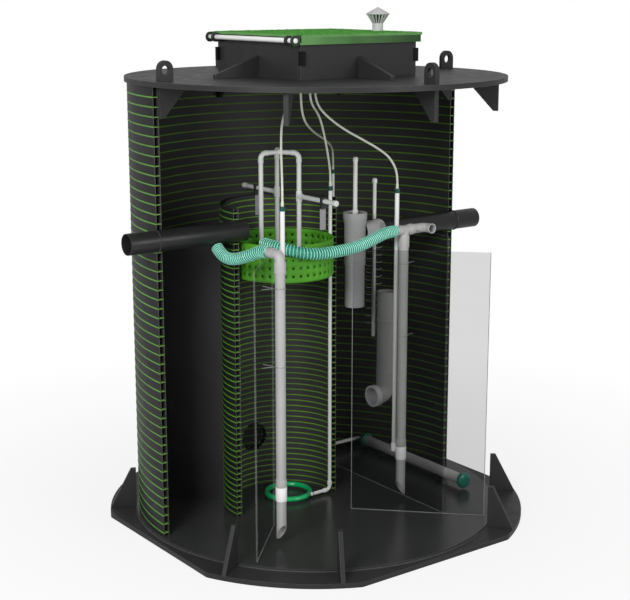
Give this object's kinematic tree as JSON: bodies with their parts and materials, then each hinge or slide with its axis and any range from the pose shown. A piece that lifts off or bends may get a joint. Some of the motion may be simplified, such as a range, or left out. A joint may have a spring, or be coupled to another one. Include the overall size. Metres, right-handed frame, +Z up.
{
  "type": "packaged sewage treatment plant",
  "caption": "Upright round plastic tank, cut open at the front, with a hinged lid, inner chambers, airlift pipes, aerators, basket and hoses.",
  "frame": {"origin": "centre of the underside of the base plate", "axes": "+Z up, +X towards the outlet pipe, -Y towards the open front"},
  "size_m": [2.34, 2.098, 2.7683],
  "materials": {
    "black_plate": "black welded plastic plate, satin",
    "wall_black": "black hollow profile sheet with green ribs",
    "lid_green": "green plastic with a pebbled top",
    "basket_green": "green perforated plastic",
    "vent_grey": "pale grey plastic",
    "pipe_black": "black plastic pipe",
    "pipe_grey": "grey plastic pipe",
    "pipe_white": "white plastic pipe",
    "panel_clear": "clear plastic sheet",
    "panel_dark": "black plastic sheet",
    "fitting_teal": "dark teal moulded fitting",
    "ring_green": "green plastic pipe",
    "foot_black": "black plastic",
    "bracket_grey": "black clamp with a grey hanging plate",
    "clip_wire": "thin steel wire",
    "air_hose": "translucent beige hose",
    "sludge_hose": "mint translucent ribbed hose"
  },
  "bodies": {
    "tank": {"base_plate": "black_plate", "tank_floor": "black_plate", "base_gussets": "black_plate", "top_plate": "black_plate", "roof_gussets": "black_plate", "lifting_lugs": "black_plate", "neck_wall_south": "black_plate", "neck_wall_east": "black_plate", "neck_wall_north": "black_plate", "neck_wall_west": "black_plate", "neck_gussets": "black_plate", "hinge_ears": "black_plate", "outer_wall_1": "wall_black", "outer_wall_2": "wall_black", "outer_wall_3": "wall_black", "outer_wall_4": "wall_black", "outer_wall_5": "wall_black", "outer_wall_6": "wall_black", "inner_wall_1": "wall_black", "inner_wall_2": "wall_black", "inner_wall_3": "wall_black", "basket": "basket_green", "inlet_pipe": "pipe_black", "outlet_pipe": "pipe_black", "outlet_tee": "pipe_grey", "transfer_riser": "pipe_grey", "airlift_risers": "pipe_grey", "airlift_left_elbow": "pipe_grey", "airlift_right_tee": "pipe_grey", "tube_aerator": "pipe_grey", "outlet_rod": "pipe_white", "brush": "pipe_white", "airlift_air_pipes": "pipe_white", "ring_air_pipe": "pipe_white", "tube_air_pipe": "pipe_white", "basket_handle": "pipe_white", "airlift_bands": "pipe_white", "hinge_tube": "pipe_white", "partition_front_left": "panel_clear", "partition_front_right": "panel_clear", "partition_right": "panel_clear", "partition_back_left": "panel_dark", "tube_caps": "fitting_teal", "air_couplers": "fitting_teal", "hose_glands": "fitting_teal", "ring_aerator": "ring_green", "aerator_feet": "foot_black", "handle_brackets": "bracket_grey", "riser_clips": "clip_wire", "air_hose_1": "air_hose", "air_hose_2": "air_hose", "air_hose_3": "air_hose", "air_hose_4": "air_hose", "sludge_hose_1": "sludge_hose", "sludge_hose_2": "sludge_hose"},
    "lid": {"lid": "lid_green", "vent_cowl": "vent_grey"}
  },
  "joints": [
    {"name": "lid_hinge", "type": "hinge", "parent": "tank", "child": "lid", "pos_m": [-0.414, 0, 2.613], "axis": [0, -1, 0], "range_deg": [0, 105]}
  ]
}
